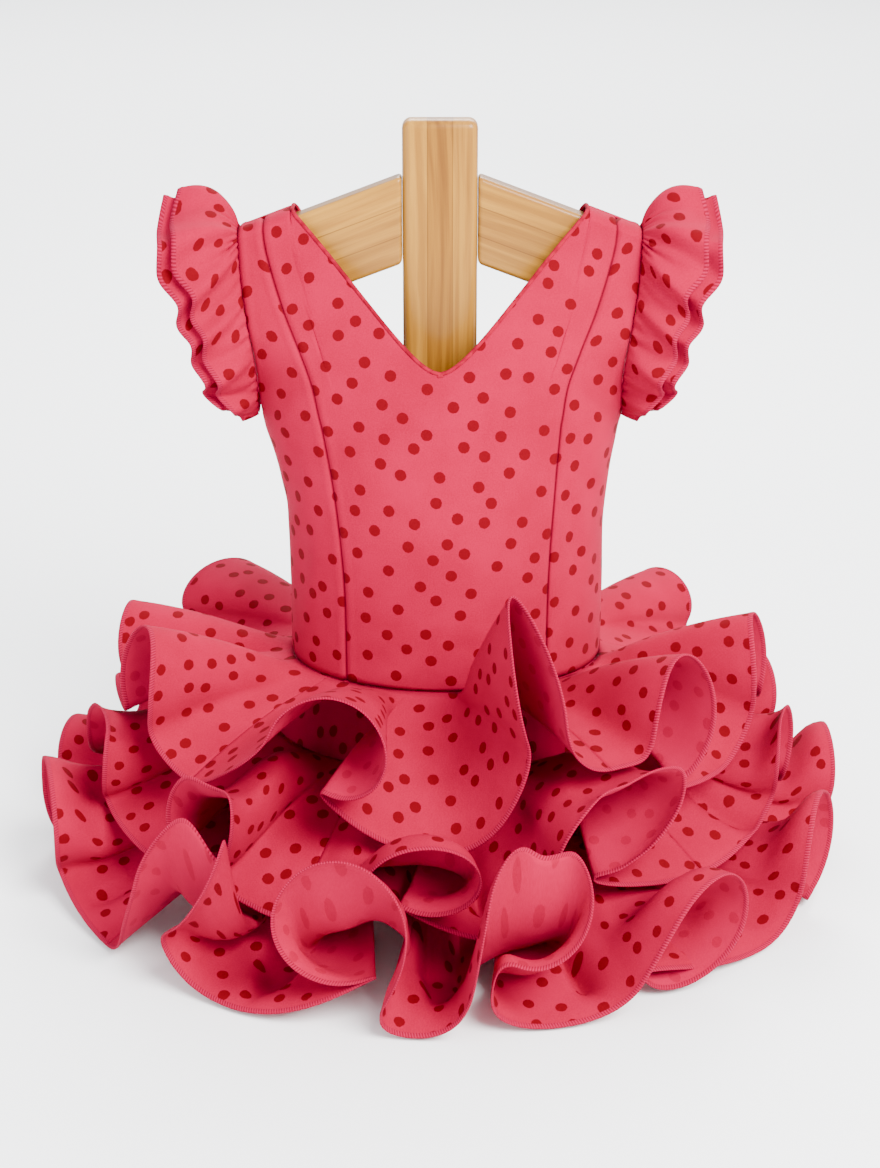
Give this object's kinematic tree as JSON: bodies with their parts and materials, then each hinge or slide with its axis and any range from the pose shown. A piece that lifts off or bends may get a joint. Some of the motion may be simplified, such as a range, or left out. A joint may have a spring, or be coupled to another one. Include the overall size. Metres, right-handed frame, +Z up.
{
  "type": "flamenco dress on wooden stand",
  "caption": "Child's flamenco dress of spotted cloth with a V neck, ruffled armholes and a skirt of full circular flounces, filled out on a wooden display stand.",
  "frame": {"origin": "centre of the underside of the stand's base, on the surface it stands on", "axes": "+Z up, the dress faces -Y, +X is the wearer's left"},
  "size_m": [0.594, 0.5606, 0.546],
  "materials": {
    "spotted_cloth": "matte woven cotton blend, coral pink with red dots",
    "neck_edge": "rolled edge of the same cloth",
    "wood": "glossy clear varnish over laminated pine"
  },
  "bodies": {
    "root": {"stand_base": "wood", "stand_post": "wood", "stand_arm_left": "wood", "stand_arm_right": "wood", "bodice_front": "spotted_cloth", "bodice_side_front_left": "spotted_cloth", "bodice_side_front_right": "spotted_cloth", "bodice_back_left": "spotted_cloth", "bodice_back_right": "spotted_cloth", "skirt_front": "spotted_cloth", "skirt_back": "spotted_cloth", "sleeve_ruffle_outer_left": "spotted_cloth", "sleeve_ruffle_outer_right": "spotted_cloth", "sleeve_ruffle_under_left": "spotted_cloth", "sleeve_ruffle_under_right": "spotted_cloth", "flounce_upper_1": "spotted_cloth", "flounce_upper_2": "spotted_cloth", "flounce_upper_3": "spotted_cloth", "flounce_upper_4": "spotted_cloth", "flounce_middle_1": "spotted_cloth", "flounce_middle_2": "spotted_cloth", "flounce_middle_3": "spotted_cloth", "flounce_middle_4": "spotted_cloth", "flounce_lower_1": "spotted_cloth", "flounce_lower_2": "spotted_cloth", "flounce_lower_3": "spotted_cloth", "flounce_lower_4": "spotted_cloth", "neck_binding": "neck_edge"}
  },
  "joints": []
}
